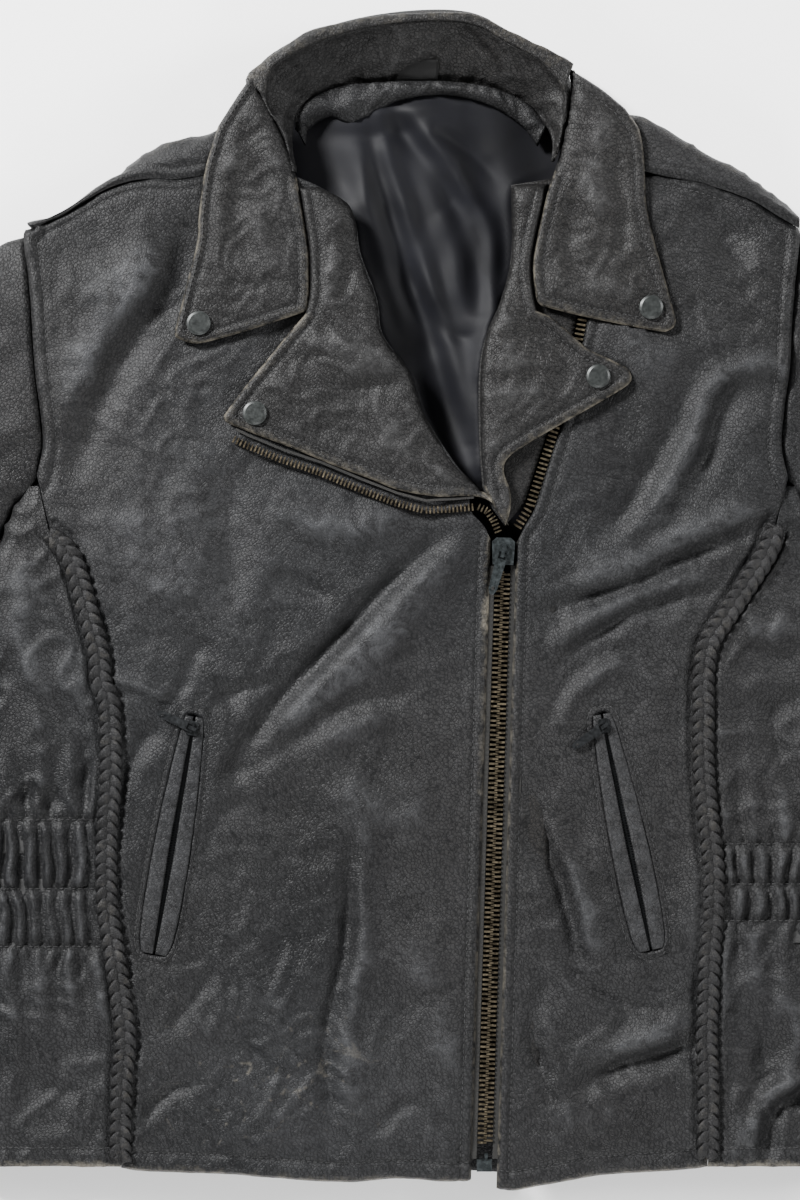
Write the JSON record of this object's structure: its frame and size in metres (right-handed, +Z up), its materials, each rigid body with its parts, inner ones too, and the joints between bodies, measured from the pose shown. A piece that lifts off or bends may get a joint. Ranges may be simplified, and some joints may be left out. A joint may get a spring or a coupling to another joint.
{
  "type": "leather jacket",
  "caption": "Heavy leather jacket lying flat, with an offset front zip, turned collar and snap-down lapels, slanted zip pockets, braided side trim and elastic waist gathers.",
  "frame": {"origin": "centre of the back on the surface it lies on", "axes": "+X towards the wearer's left sleeve, +Y from hem to collar, +Z up out of the front"},
  "size_m": [1.276, 0.734, 0.0373],
  "materials": {
    "black_leather": "semi-matte pebbled grain, faded to charcoal",
    "edge_worn_leather": "pebbled grain with tan wear on the turned edges",
    "braid_leather": "narrow strips, burnished",
    "satin": "dark satin",
    "zip_tape": "woven twill tape",
    "antique_brass": "antiqued",
    "gunmetal": "dull gunmetal",
    "black_metal": "black",
    "enamel_cap": "dull grey-green enamel",
    "elastic": "woven elastic",
    "label_cloth": "woven cloth"
  },
  "bodies": {
    "jacket": {"back_lining": "satin", "back_panel": "black_leather", "collar_back_leaf": "black_leather", "collar_stand": "black_leather", "front_facings": "black_leather", "left_braid": "braid_leather", "left_front_lining": "satin", "left_front_panel": "black_leather", "left_pocket_tape": "zip_tape", "left_pocket_teeth": "black_metal", "left_pocket_welts": "black_leather", "left_side_panel": "black_leather", "left_sleeve_top": "black_leather", "left_sleeve_under": "black_leather", "left_underlap": "black_leather", "left_zip_tape": "zip_tape", "left_zip_teeth": "antique_brass", "neck_label": "label_cloth", "pocket_bags": "satin", "right_braid": "braid_leather", "right_front_lining": "satin", "right_front_panel": "black_leather", "right_pocket_tape": "zip_tape", "right_pocket_teeth": "black_metal", "right_pocket_welts": "black_leather", "right_side_panel": "black_leather", "right_sleeve_top": "black_leather", "right_sleeve_under": "black_leather", "right_zip_tape": "zip_tape", "right_zip_teeth": "antique_brass", "shoulder_yoke": "black_leather", "sleeve_linings": "satin", "snap_studs": "gunmetal", "waist_elastics": "elastic", "zip_box": "gunmetal"},
    "zip_slider_body": {"zip_slider": "gunmetal"},
    "zip_pull_body": {"zip_pull": "gunmetal"},
    "right_pocket_slider_body": {"right_pocket_slider": "black_metal"},
    "right_pocket_pull_body": {"right_pocket_pull": "black_metal"},
    "left_pocket_slider_body": {"left_pocket_slider": "black_metal"},
    "left_pocket_pull_body": {"left_pocket_pull": "black_metal"},
    "right_collar": {"right_collar_wing": "edge_worn_leather", "right_collar_snap": "enamel_cap"},
    "left_collar": {"left_collar_wing": "edge_worn_leather", "left_collar_snap": "enamel_cap"},
    "right_lapel_flap": {"right_lapel": "edge_worn_leather", "right_lapel_snap": "enamel_cap", "lapel_zip_teeth": "antique_brass", "lapel_zip_tape": "zip_tape"},
    "left_lapel_flap": {"left_lapel": "edge_worn_leather", "left_lapel_snap": "enamel_cap"}
  },
  "joints": [
    {"name": "zip_slide", "type": "slide", "parent": "jacket", "child": "zip_slider_body", "axis": [0.0308, 0.9995, 0], "range_m": [-0.362, 0]},
    {"name": "zip_pull_hinge", "type": "hinge", "parent": "zip_slider_body", "child": "zip_pull_body", "pos_m": [0.05706, 0.033, 0.0327], "axis": [-0.9624, 0.2717, 0], "range_deg": [0, 110]},
    {"name": "right_pocket_slide", "type": "slide", "parent": "jacket", "child": "right_pocket_slider_body", "axis": [0.1685, 0.9857, 0], "range_m": [-0.134, 0]},
    {"name": "right_pocket_pull_hinge", "type": "hinge", "parent": "right_pocket_slider_body", "child": "right_pocket_pull_body", "pos_m": [-0.13704, -0.07747, 0.0334], "axis": [0.4179, 0.9085, 0], "range_deg": [0, 110]},
    {"name": "left_pocket_slide", "type": "slide", "parent": "jacket", "child": "left_pocket_slider_body", "axis": [-0.2045, 0.9789, 0], "range_m": [-0.134, 0]},
    {"name": "left_pocket_pull_hinge", "type": "hinge", "parent": "left_pocket_slider_body", "child": "left_pocket_pull_body", "pos_m": [0.12009, -0.07594, 0.0334], "axis": [-0.5707, 0.8211, 0], "range_deg": [0, 110]},
    {"name": "right_collar_fold", "type": "hinge", "parent": "jacket", "child": "right_collar", "pos_m": [-0.0605, 0.24, 0.0334], "axis": [-0.3409, 0.9401, 0], "range_deg": [0, 85]},
    {"name": "left_collar_fold", "type": "hinge", "parent": "jacket", "child": "left_collar", "pos_m": [0.0875, 0.272, 0.0349], "axis": [-0.2203, -0.9754, 0], "range_deg": [0, 85]},
    {"name": "right_lapel_fold", "type": "hinge", "parent": "jacket", "child": "right_lapel_flap", "pos_m": [-0.041, 0.251, 0.0334], "axis": [-0.4251, 0.9052, 0], "range_deg": [0, 85]},
    {"name": "left_lapel_fold", "type": "hinge", "parent": "jacket", "child": "left_lapel_flap", "pos_m": [0.042, 0.146, 0.0334], "axis": [-0.0697, -0.9976, 0], "range_deg": [0, 85]}
  ]
}
